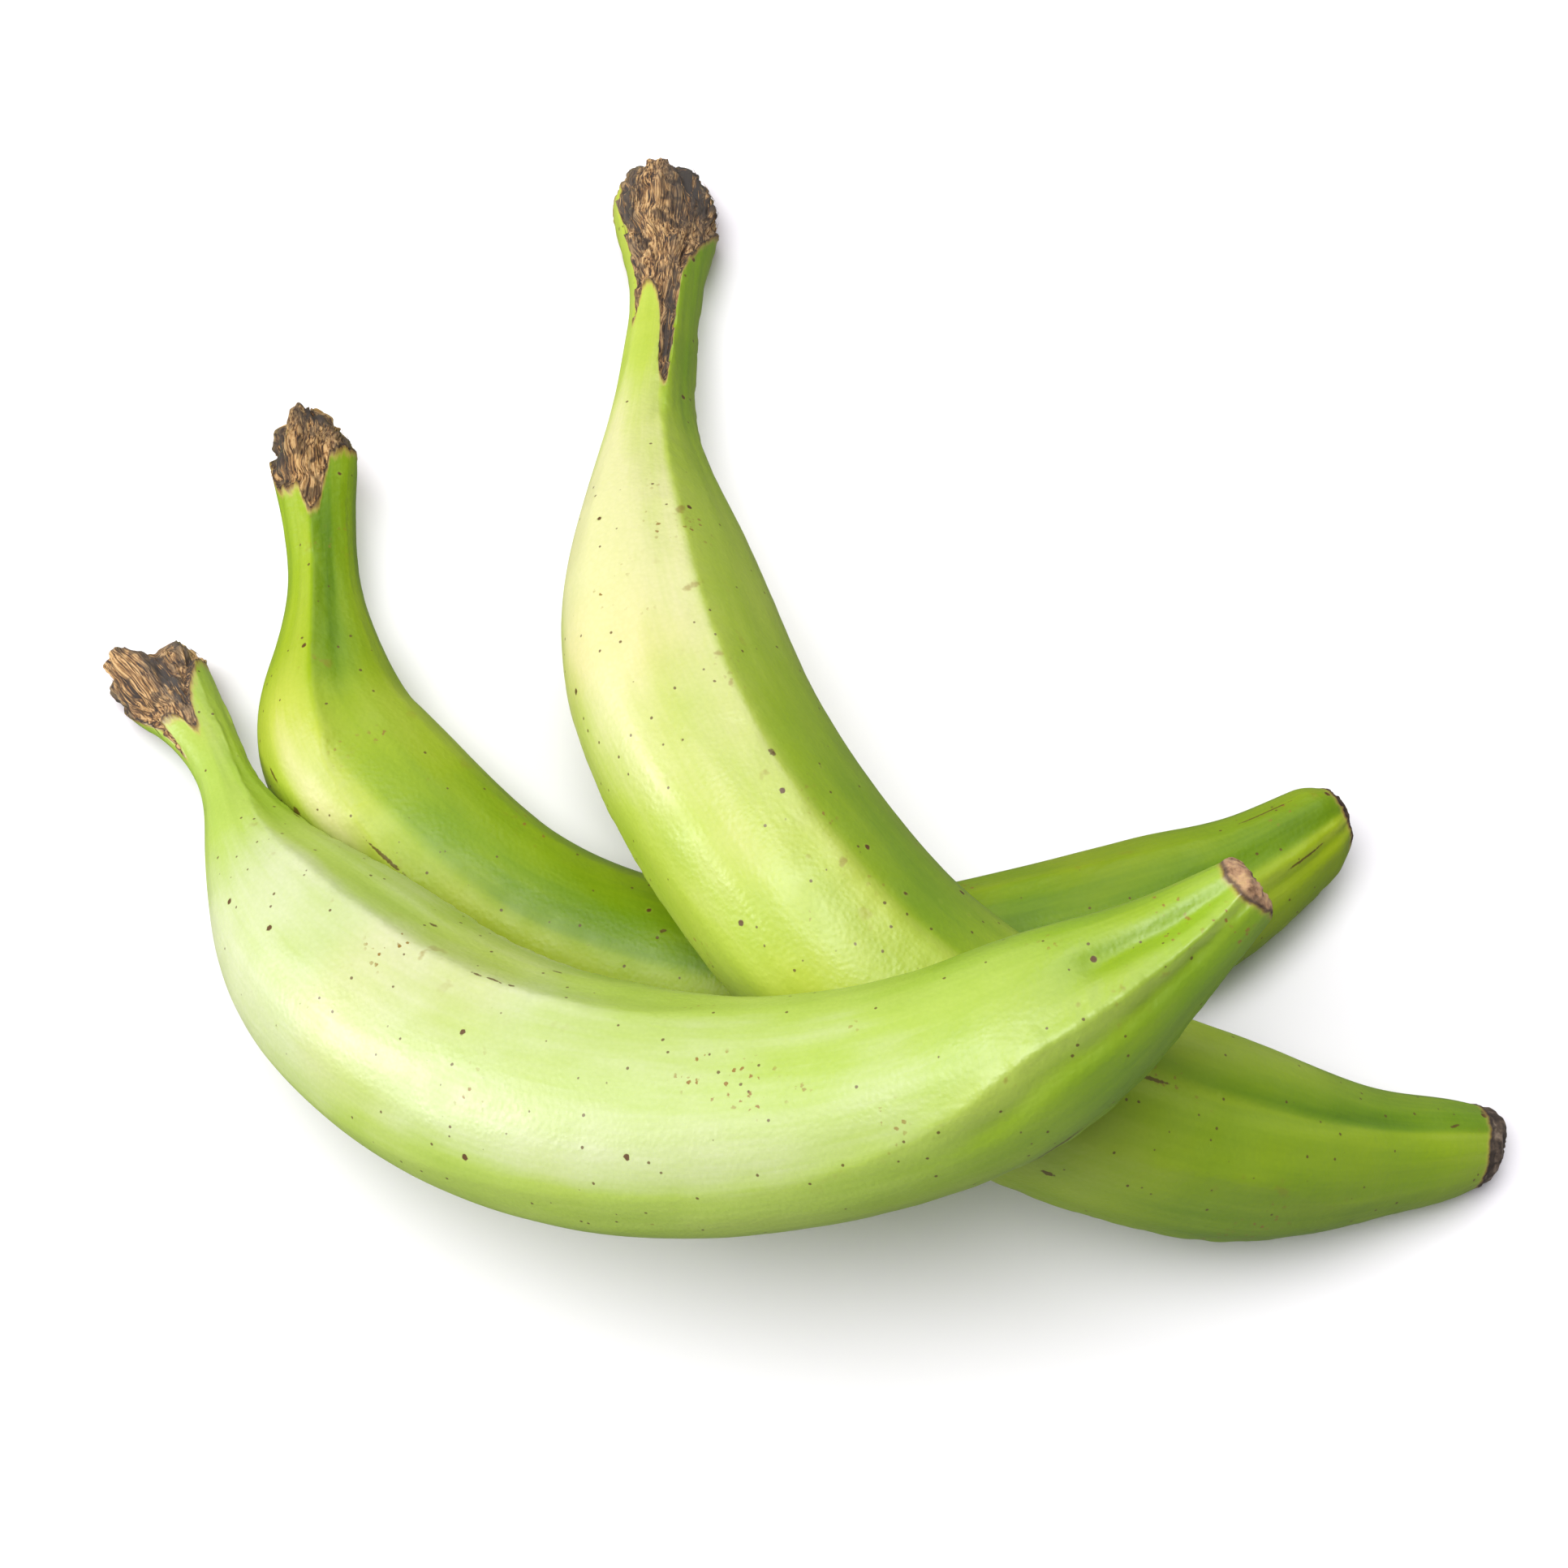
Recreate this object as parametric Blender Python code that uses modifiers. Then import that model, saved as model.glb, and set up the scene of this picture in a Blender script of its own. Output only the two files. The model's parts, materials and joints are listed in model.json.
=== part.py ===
"""A bunch of three green plantains heaped on a table. Metres, +Z up, origin under the middle of the heap.

Each plantain is one solid: a five-sided tube that is swept along its bent spine, from the torn
stalk to the blunt blossom end. The long one lies across the rear one, and the front one across both.
"""

import bmesh
import bpy
import numpy as np

# Shape shared by the three fruits
RIDGES = 5                # a plantain's finger has five long ridges
CORNERS = 2 * RIDGES      # cage corners in one ring: a ridge, then the middle of a face
RINGS = 27                # cage rings from stalk to tip
END_CROWDING = 0.4        # how strongly the rings crowd towards the stalk and the tip, 0 to 1
RIDGE_RISE = 0.045        # how far a ridge stands out, as a share of the girth
THICKNESS = 0.90          # thickness across the bend, as a share of the width in the bend
STALK_THICKNESS = 0.78    # the same for the stalk, which is flatter
STALK_SHARE = 0.17        # part of the length that is stalk
CAGE_SHRINK = 0.952       # what one level of subdivision leaves of a ten-cornered cage
MM = 0.001

# Shares of the length at which each girth below is given, from the torn end to the tip
GIRTH_PLACES = (0.0, 0.03, 0.06, 0.10, 0.14, 0.18, 0.22, 0.27, 0.33, 0.40, 0.50, 0.60, 0.70, 0.78, 0.84, 0.89,
                0.93, 0.97, 1.0)

# Spine points in millimetres from stalk to tip, half widths in millimetres, and peel colour
FRONT_SPINE = ((-137, 5, 5.4), (-122, -14, 13), (-110, -39, 22.5), (-96, -62, 32), (-74, -84, 42),
               (-41, -102, 57), (-6, -108, 71.8), (22, -105, 82.5), (44, -96, 89), (61, -86, 94),
               (77, -75, 100))
FRONT_GIRTH = (8.6, 9.6, 8.0, 6.3, 6.2, 9.1, 12.9, 17.9, 21.5, 22.8, 23.2, 22.4, 20.8, 19.8, 18.4, 15.0,
               11.4, 8.9, 6.8)
LONG_SPINE = ((-30, 119.5, 5.2), (-29, 84, 17), (-31, 49, 28), (-29, 16, 38), (-23.5, -14.5, 46),
              (-9.5, -45.5, 51.7), (9, -70, 51.7), (36, -89, 44.5), (68, -99, 32.5), (104, -101, 17.5),
              (137, -96, 4.4))
LONG_GIRTH = (7.8, 10.8, 10.1, 7.8, 7.5, 7.9, 9.6, 14.1, 19.4, 22.6, 23.1, 23.0, 22.0, 21.0, 19.0, 14.9,
              11.7, 9.6, 6.7)
REAR_SPINE = ((-103, 57, 16), (-99, 23, 16), (-97, 2, 16.5), (-94, -14, 16), (-82, -31, 16), (-59, -51, 15.7),
              (-23, -65, 15.3), (15, -66, 14.8), (53, -57, 14.2), (82, -46.5, 13.2), (107.5, -30, 13))
REAR_GIRTH = (5.8, 8.6, 8.1, 7.2, 7.9, 11.1, 15.2, 18.0, 18.4, 18.0, 17.8, 17.4, 16.9, 16.4, 16.0, 14.6,
              12.1, 9.9, 8.0)

LIGHT_GREEN = (0.55, 0.66, 0.17)
MID_GREEN = (0.44, 0.57, 0.10)
DEEP_GREEN = (0.30, 0.42, 0.04)
PEEL_ROUGHNESS = 0.45

HEAP_SHIFT = (0.00185, 0.00478, 0)    # brings the middle of the heap's box over the origin
TABLE_SIZE = 0.5          # side of the block that trims the skin flat where a fruit touches the table


def spline(knots, values, places):
    """Natural cubic spline through the values at the knots, read at the given places."""
    knots, values, places = (np.asarray(item, float) for item in (knots, values, places))
    values = values.reshape(len(knots), -1)
    gaps = np.diff(knots)
    slopes = np.diff(values, axis=0) / gaps[:, None]
    system = np.eye(len(knots))
    pull = np.zeros_like(values)
    for i in range(1, len(knots) - 1):
        system[i, i - 1:i + 2] = gaps[i - 1], 2 * (gaps[i - 1] + gaps[i]), gaps[i]
        pull[i] = 6 * (slopes[i] - slopes[i - 1])
    bend = np.linalg.solve(system, pull)
    i = np.clip(np.searchsorted(knots, places, side="right") - 1, 0, len(gaps) - 1)
    width = gaps[i][:, None]
    after = (places[:, None] - knots[i][:, None]) / width
    before = 1 - after
    bow = ((before ** 3 - before) * bend[i] + (after ** 3 - after) * bend[i + 1]) * width ** 2 / 6
    return before * values[i] + after * values[i + 1] + bow


def unit(vectors):
    return vectors / np.linalg.norm(vectors, axis=-1, keepdims=True)


def ring_places():
    """Shares of the length for the rings, closer together at the stalk and the tip."""
    even = np.linspace(0, 1, RINGS)
    crowded = 0.5 - 0.5 * np.cos(np.pi * even)
    return even + END_CROWDING * (crowded - even)


def frames(spine, places):
    """Centre, outer direction and across direction of each ring. Across is square to the bend's plane."""
    spine = np.array(spine, float) * MM
    steps = np.linalg.norm(np.diff(spine, axis=0), axis=1)
    knots = np.concatenate([[0], np.cumsum(steps)]) / steps.sum()
    centres = spline(knots, spine, places)
    tangents = unit(np.gradient(centres, places, axis=0))
    middle = spine[len(spine) // 2]
    normal = unit(np.cross(middle - spine[0], spine[-1] - middle))
    across = unit(normal - (tangents @ normal)[:, None] * tangents)
    return centres, np.cross(tangents, across), across


def sweep(name, spine, girth):
    """The closed cage of one plantain: a ring of corners at each place along the spine."""
    places = ring_places()
    centres, outer, across = frames(spine, places)
    radii = spline(GIRTH_PLACES, girth, places)[:, 0] * MM / CAGE_SHRINK
    to_body = np.clip(places / STALK_SHARE, 0, 1)
    flatness = STALK_THICKNESS + (THICKNESS - STALK_THICKNESS) * to_body
    bm = bmesh.new()
    rings = []
    for centre, out, up, radius, flat in zip(centres, outer, across, radii, flatness):
        ring = []
        for corner in range(CORNERS):
            angle = 2 * np.pi * corner / CORNERS
            reach = radius * (1 + RIDGE_RISE * (-1) ** corner)
            ring.append(bm.verts.new(centre + reach * (np.cos(angle) * out + flat * np.sin(angle) * up)))
        rings.append(ring)
    for near, far in zip(rings, rings[1:]):
        for corner in range(CORNERS):
            after = (corner + 1) % CORNERS
            bm.faces.new((near[corner], near[after], far[after], far[corner]))
    bm.faces.new(reversed(rings[0]))
    bm.faces.new(rings[-1])
    bmesh.ops.recalc_face_normals(bm, faces=bm.faces)
    mesh = bpy.data.meshes.new(name)
    bm.to_mesh(mesh)
    bm.free()
    mesh.shade_smooth()
    return mesh


def peel(name, colour):
    material = bpy.data.materials.new(name)
    material.use_nodes = True
    shader = material.node_tree.nodes["Principled BSDF"]
    shader.inputs["Base Color"].default_value = (*colour, 1)
    shader.inputs["Roughness"].default_value = PEEL_ROUGHNESS
    shader.inputs["Metallic"].default_value = 0
    material.diffuse_color = (*colour, 1)
    return material


def table_cutter(collection):
    """A block whose top is the table's surface, z = 0."""
    bm = bmesh.new()
    bmesh.ops.create_cube(bm, size=TABLE_SIZE)
    bmesh.ops.translate(bm, vec=(0, 0, -TABLE_SIZE / 2), verts=bm.verts)
    mesh = bpy.data.meshes.new("table_cutter")
    bm.to_mesh(mesh)
    bm.free()
    cutter = bpy.data.objects.new("table_cutter", mesh)
    cutter.hide_render = True
    cutter.display_type = "WIRE"
    collection.objects.link(cutter)
    return cutter


def plantain(name, spine, girth, colour, collection, table):
    fruit = bpy.data.objects.new(name, sweep(name, spine, girth))
    fruit.data.materials.append(peel(f"{name}_peel", colour))
    fruit.location = HEAP_SHIFT
    collection.objects.link(fruit)
    smooth = fruit.modifiers.new("round_skin", "SUBSURF")
    smooth.levels = 1
    smooth.render_levels = 1
    trim = fruit.modifiers.new("resting_face", "BOOLEAN")
    trim.operation = "DIFFERENCE"
    trim.object = table
    return fruit


def clear_scene():
    for item in list(bpy.data.objects):
        bpy.data.objects.remove(item, do_unlink=True)


def new_collection(name):
    collection = bpy.data.collections.new(name)
    bpy.context.scene.collection.children.link(collection)
    return collection


def main():
    clear_scene()
    heap = new_collection("plantain_bunch")
    table = table_cutter(new_collection("cutters"))
    plantain("front_plantain", FRONT_SPINE, FRONT_GIRTH, LIGHT_GREEN, heap, table)
    plantain("long_plantain", LONG_SPINE, LONG_GIRTH, MID_GREEN, heap, table)
    plantain("rear_plantain", REAR_SPINE, REAR_GIRTH, DEEP_GREEN, heap, table)


main()
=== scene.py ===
"""Looks of a bunch of three green plantains that lie heaped on a table.

A Geometry Nodes tree bends a fine tube along each fruit's spine and raises its ridges, furrows, torn
stalk and blossom scar. A second tree frays the torn stalk with loose fibres. Metres, +Z up.

Round a fruit, angles run from 0 on the outside of its bend, over 90 on its upper side, to 180 inside
the bend. Along it, shares run from 0 at the torn stalk to 1 at the blossom end.
"""

import json
import math
from collections import namedtuple

import bpy
import numpy as np
from bpy.props import EnumProperty, FloatProperty, FloatVectorProperty, IntProperty, PointerProperty
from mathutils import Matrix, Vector

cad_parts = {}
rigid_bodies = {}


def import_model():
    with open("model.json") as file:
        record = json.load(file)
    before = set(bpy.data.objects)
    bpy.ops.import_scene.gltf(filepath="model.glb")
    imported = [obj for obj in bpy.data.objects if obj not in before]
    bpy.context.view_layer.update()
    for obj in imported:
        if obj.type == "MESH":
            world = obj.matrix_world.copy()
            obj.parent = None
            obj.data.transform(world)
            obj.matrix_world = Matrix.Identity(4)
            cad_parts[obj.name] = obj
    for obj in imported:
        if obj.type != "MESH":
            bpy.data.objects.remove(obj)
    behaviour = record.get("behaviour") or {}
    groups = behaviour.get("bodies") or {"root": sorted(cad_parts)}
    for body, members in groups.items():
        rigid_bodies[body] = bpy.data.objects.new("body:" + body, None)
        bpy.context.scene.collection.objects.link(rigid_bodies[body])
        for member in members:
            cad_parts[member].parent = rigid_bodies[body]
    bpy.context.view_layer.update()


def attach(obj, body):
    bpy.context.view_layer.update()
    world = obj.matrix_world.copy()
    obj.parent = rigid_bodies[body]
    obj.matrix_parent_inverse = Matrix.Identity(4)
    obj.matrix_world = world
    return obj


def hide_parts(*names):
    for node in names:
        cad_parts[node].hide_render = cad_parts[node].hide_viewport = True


bl_info = {
    "name": "Plantain Bunch",
    "version": (1, 0, 0),
    "blender": (4, 5, 0),
    "location": "View3D > Sidebar > Plantains",
    "description": "Grows three green plantains with ridged peel and torn stalks",
    "category": "Object",
}

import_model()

MM = 0.001
HEAP_SHIFT = (0.00185, 0.00478, 0)    # brings the middle of the heap's box over the origin
SPINE_STEPS = 240                     # points on the spine that the tube follows
THICKNESS = 0.90                      # thickness across the bend, as a share of the width in the bend
STALK_THICKNESS = 0.78                # the same for the stalk, which is flatter
STALK_SHARE = 0.17                    # part of the length that is stalk
TABLE_GAP = 0.0001                    # the peel's lowest height over the table
LENGTHWISE = 0.3                      # metres of fruit that one share of 1 stands for in patterns
STRAND_GRAIN = (3.2, 3.2, 0.09)       # changes per millimetre in the strands' pattern, the last lengthwise
BODY_GIRTH = 20                       # millimetres from the spine to the peel that patterns count on
NOISE_LOW, NOISE_HIGH = 0.3, 0.7      # nearly all of a noise texture's values lie between these
CREST_ROUND = 1.2                     # degrees over which a crisp fold's crest is rounded
END_NARROWING = 0.3                   # part of the girth that the tube loses where an end is rounded off
FLOOR_HALF = 12.0                     # half the floor's side in metres, wide enough for low views
AIM_POINT = (-0.00229, -0.02531, 0.03059)    # where the camera looks
NEAREST_SEEN = 0.01                   # metres from the camera to the closest thing that it shows
SWAY_SEED, STRETCH_SEED, SHADE_SEED = 5, 8, 13
SLIVER_RINGS, SLIVER_SIDES = 7, 5     # a loose fibre's faces, few because there are hundreds
PEBBLE_DEPTH = 0.0004                 # metres of relief in the peel's pebbles and the torn strands
FIBRE_GRIT_DEPTH = 0.0002             # the same for the loose fibres
FLESH_GLOW = 0.12                     # share of the light that soaks into the peel
FLESH_GLOW_DEPTH = 0.003              # metres that it travels there
FLESH_GLOW_COLOUR = (0.9, 1.0, 0.25)
DRY_ROUGHNESS, FIBRE_ROUGHNESS, FLOOR_ROUGHNESS = 0.85, 0.8, 0.9
OPAQUE = 1.0
WHITE = (1.0, 1.0, 1.0)

# Shares of the length at which each girth below is given, from the torn end to the tip
GIRTH_PLACES = (0.0, 0.03, 0.06, 0.10, 0.14, 0.18, 0.22, 0.27, 0.33, 0.40, 0.50, 0.60, 0.70, 0.78, 0.84,
                0.89, 0.93, 0.97, 1.0)

# A fold is a ridge or a furrow. Its route gives (share, degrees), its rise (share, part of the girth)
# and its spread degrees. A crisp one has a sharp crest.
Fold = namedtuple("Fold", "route rise spread crisp")
# A mark is a small scar: its share, degrees, length and width in millimetres, and turn in degrees.
Mark = namedtuple("Mark", "share degrees length width turn")
# A patch is a pale cloud of painted highlight in the peel, or charring on the torn stalk: its share,
# degrees, length and width in millimetres, and strength.
Patch = namedtuple("Patch", "share degrees length width strength")
# A fruit's spine and girth are in millimetres. Its torn edge is a share and its rim is in millimetres,
# both round the stalk by degrees. Slant lowers the upper side of the torn end. The stalk and the tip are
# rounded off over millimetres. The scar starts at a share, sooner by scar_over on the upper side. It is
# so many millimetres deep, and leans by parts of the girth. Crust runs from 0, a dark scar, to 1, a pale
# one. The greens run from 0, pale, to 1, deep. The charring lies on the torn patch, the marks anywhere.
# The green round a fruit paints shade as well as colour: it is deeper on the sides turned from the lights.
Fruit = namedtuple("Fruit", (
    "name", "slot", "spine", "girth", "folds", "torn_edge", "rim", "slant", "stalk_round", "tip_round",
    "scar_start", "scar_depth", "scar_tilt", "scar_turn", "scar_over", "crust", "gloss", "tint",
    "green_along", "green_round", "patches", "charring", "marks", "speck_seed"))


def back_ridge(start, end, rises):
    """A low straight ridge on a hidden side, with its rise near the stalk, on the body and at the tip."""
    near, body, tip = rises
    return Fold(((0, start), (1, end)), ((0, 0.02), (0.2, near), (0.8, body), (1, tip)), 16, True)


FRONT = Fruit(
    name="front",
    slot="light_green_peel",
    spine=((-137, 5, 5.4), (-122, -14, 13), (-110, -39, 22.5), (-96, -62, 32), (-74, -84, 42),
           (-41, -102, 57), (-6, -108, 71.8), (22, -105, 82.5), (44, -96, 89), (61, -86, 94),
           (78.6, -73.9, 100.5)),
    girth=(8.6, 9.6, 8.0, 6.3, 6.2, 9.1, 12.9, 17.9, 21.5, 22.8, 23.2, 22.4, 20.8, 19.8, 18.4, 15.0,
           11.2, 8.2, 6.1),
    folds=(
        Fold(((0, 150), (0.11, 138), (0.16, 130), (0.24, 119), (0.55, 120), (0.64, 128), (0.8, 140),
              (1, 150)),
             ((0, 0.02), (0.12, 0.06), (0.25, 0.08), (0.5, 0.075), (0.6, 0.04), (0.7, 0.01), (1, 0)),
             9, True),
        Fold(((0, 160), (0.3, 140), (0.6, 140), (1, 170)),
             ((0, 0), (0.15, -0.03), (0.3, -0.035), (0.52, -0.03), (0.66, -0.01), (0.75, 0), (1, 0)),
             12, False),
        Fold(((0, 190), (0.3, 180), (0.6, 182), (1, 200)),
             ((0, 0.02), (0.15, 0.06), (0.5, 0.06), (0.8, 0.04), (1, 0.02)), 13, True),
        Fold(((0, 0), (0.3, 12), (0.5, 25), (0.7, 34), (0.78, 45), (0.86, 57), (0.94, 56), (1, 72)),
             ((0, 0), (0.3, 0.01), (0.45, 0.02), (0.65, 0.025), (0.76, 0.05), (0.84, 0.1), (0.92, 0.16),
              (1, 0.14)), 11, True),
        Fold(((0, 60), (0.7, 76), (0.8, 82), (0.86, 84), (0.91, 88), (0.95, 84), (1, 90)),
             ((0, 0), (0.82, 0), (0.88, -0.07), (0.93, -0.2), (0.97, -0.17), (1, -0.05)), 14, False),
        Fold(((0, 10), (0.7, 22), (0.8, 30), (0.86, 40), (0.92, 40), (1, 52)),
             ((0, 0), (0.74, 0), (0.8, -0.035), (0.93, -0.05), (1, -0.03)), 8, False),
        back_ridge(235, 268, (0.05, 0.05, 0.08)),
        back_ridge(295, 330, (0.04, 0.05, 0.04)),
        Fold(((0, 150), (0.04, 152), (1, 152)), ((0, 0.04), (0.025, 0.1), (0.05, 0), (1, 0)), 9, True),
        Fold(((0, 118), (0.04, 112), (1, 112)), ((0, -0.2), (0.03, -0.16), (0.06, 0), (1, 0)), 10, False),
        Fold(((0, 345), (1, 345)),
             ((0, -0.05), (0.05, -0.16), (0.09, -0.26), (0.14, -0.1), (0.2, 0), (1, 0)), 30, False),
    ),
    torn_edge=((0, 0.02), (30, 0.045), (40, 0.062), (48, 0.098), (60, 0.064), (84, 0.068), (98, 0.088),
               (112, 0.07), (134, 0.05), (172, 0.035), (230, 0.05), (290, 0.04), (360, 0.02)),
    rim=((0, 0.8), (25, 2.4), (45, 6.2), (65, 6.8), (90, 5.0), (110, 2.4), (140, -2.4), (180, -1.8),
         (240, 0.4), (300, 3.6), (360, 0.8)),
    slant=0.45,
    stalk_round=2.0,
    tip_round=1.4,
    scar_start=0.996,
    scar_depth=1.3,
    scar_tilt=-0.12,
    scar_turn=0.0,
    scar_over=0.01,
    crust=0.8,
    gloss=0.7,
    tint=(0.93, 1.0, 1.3),
    green_along=((0, 0.3), (0.12, 0.36), (0.2, 0.3), (0.3, 0.12), (0.5, 0.14), (0.7, 0.22), (0.82, 0.36),
                 (0.93, 0.5), (1, 0.5)),
    green_round=((0, 0.26), (25, 0.2), (45, 0.06), (70, 0.0), (95, 0.0), (118, 0.03), (126, 0.12),
                 (150, 0.16), (180, 0.14), (240, 0.3), (300, 0.35), (360, 0.26)),
    patches=(Patch(0.28, 20, 75, 26, 0.25), Patch(0.62, 48, 90, 16, 0.1)),
    charring=(Patch(0.045, 106, 26, 15, 1.0), Patch(0.015, 150, 16, 14, 0.9),
              Patch(0.03, 12, 30, 14, 0.9)),
    marks=(Mark(0.822, 337, 12, 2.0, 20), Mark(0.319, 2, 3.0, 1.2, 60), Mark(0.46, 121, 3, 0.5, 0),
           Mark(0.475, 121, 4, 0.5, 0), Mark(0.49, 122, 2, 0.5, 0), Mark(0.385, 143, 2.5, 0.8, 10),
           Mark(0.5, 150, 3, 0.5, 0), Mark(0.196, 174, 2, 1.5, 0)),
    speck_seed=3.0,
)

LONG = Fruit(
    name="long",
    slot="green_peel",
    spine=((-30, 119.5, 5.2), (-29, 84, 17), (-31, 49, 28), (-29, 16, 38), (-23.5, -14.5, 46),
           (-9.5, -45.5, 51.7), (9, -70, 51.7), (36, -89, 44.5), (68, -99, 32.5), (104, -101, 17.5),
           (137, -96, 4.4)),
    girth=(8.4, 11.2, 10.2, 7.7, 7.4, 7.9, 9.6, 14.1, 19.4, 22.6, 23.1, 23.0, 22.0, 21.0, 19.0, 14.9,
           11.7, 9.6, 6.7),
    folds=(
        Fold(((0, 90), (0.2, 88), (0.27, 82), (0.4, 81), (0.5, 77), (0.63, 75), (0.7, 84), (0.77, 98),
              (0.83, 113), (0.9, 128), (1, 135)),
             ((0, 0.02), (0.12, 0.06), (0.2, 0.11), (0.3, 0.1), (0.5, 0.085), (0.65, 0.06), (0.8, 0.04),
              (0.9, 0.02), (1, 0.02)), 13, True),
        Fold(((0, 125), (0.3, 118), (0.5, 112), (0.65, 108), (1, 150)),
             ((0, 0), (0.14, -0.04), (0.22, -0.07), (0.32, -0.04), (0.6, -0.03), (0.75, 0), (1, 0)),
             20, False),
        Fold(((0, 60), (0.7, 72), (0.79, 76), (0.85, 80), (0.9, 88), (1, 95)),
             ((0, 0), (0.68, 0), (0.75, -0.06), (0.84, -0.08), (0.92, -0.03), (1, 0)), 10, False),
        Fold(((0, 20), (0.5, 25), (0.77, 32), (0.8, 35), (0.85, 30), (0.9, 20), (1, 20)),
             ((0, 0.02), (0.3, 0.02), (0.6, 0.03), (0.8, 0.04), (0.9, 0.03), (1, 0.02)), 14, True),
        Fold(((0, 175), (0.4, 168), (0.7, 172), (1, 190)),
             ((0, 0.03), (0.2, 0.07), (0.6, 0.06), (0.92, 0.12), (1, -0.04)), 14, True),
        back_ridge(235, 260, (0.05, 0.05, 0.03)),
        Fold(((0, 330), (0.4, 320), (1, 330)), ((0, 0.03), (0.2, 0.05), (0.8, 0.05), (1, 0.03)), 16, True),
        Fold(((0, 112), (0.03, 128), (0.06, 140), (1, 140)),
             ((0, 0.16), (0.03, 0.16), (0.05, 0), (1, 0)), 7, True),
        Fold(((0, 98), (0.03, 112), (0.06, 122), (1, 122)),
             ((0, -0.2), (0.03, -0.14), (0.05, 0), (1, 0)), 9, False),
        Fold(((0, 22), (0.05, 18), (1, 18)), ((0, -0.04), (0.03, -0.08), (0.06, 0), (1, 0)), 7, False),
    ),
    torn_edge=((0, 0.015), (8, 0.1), (13, 0.14), (24, 0.122), (40, 0.108), (54, 0.114), (70, 0.145),
               (83, 0.195), (92, 0.15), (97, 0.098), (120, 0.075), (160, 0.05), (200, 0.04), (280, 0.06),
               (340, 0.03), (360, 0.015)),
    rim=((0, -0.5), (30, 1.2), (60, 2.4), (85, 2.3), (98, 0.9), (112, 1.5), (160, -1.5), (200, -1.5),
         (260, 2.0), (300, 1.0), (360, -0.5)),
    slant=0.3,
    stalk_round=4.5,
    tip_round=2.0,
    scar_start=0.986,
    scar_depth=-1.0,
    scar_tilt=0.1,
    scar_turn=0.36,
    scar_over=0.0,
    crust=0.0,
    gloss=0.7,
    tint=(1.0, 1.0, 1.0),
    green_along=((0, 0.36), (0.15, 0.32), (0.25, 0.14), (0.35, 0.04), (0.45, 0.18), (0.55, 0.32),
                 (0.7, 0.42), (0.85, 0.56), (1, 0.5)),
    green_round=((0, 0.04), (30, 0.0), (60, 0.02), (76, 0.05), (88, 0.4), (130, 0.42), (165, 0.34),
                 (180, 0.28), (240, 0.3), (330, 0.15), (360, 0.04)),
    patches=(Patch(0.33, 22, 80, 20, 0.2), Patch(0.76, 125, 90, 34, 0.42),
             Patch(0.9, 115, 70, 44, 0.2), Patch(0.86, 30, 90, 60, -0.17)),
    charring=(Patch(0.018, 116, 30, 34, 1.0), Patch(0.04, 14, 36, 16, 0.9),
              Patch(0.14, 84, 50, 8, 0.9)),
    marks=(Mark(0.749, 74, 9, 0.8, 5), Mark(0.723, 3, 2.0, 1.2, 0), Mark(0.495, 78, 1.4, 1.0, 0),
           Mark(0.958, 88, 2.2, 1.0, 30), Mark(0.985, 112, 1.5, 6, 0)),
    speck_seed=11.0,
)

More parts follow.
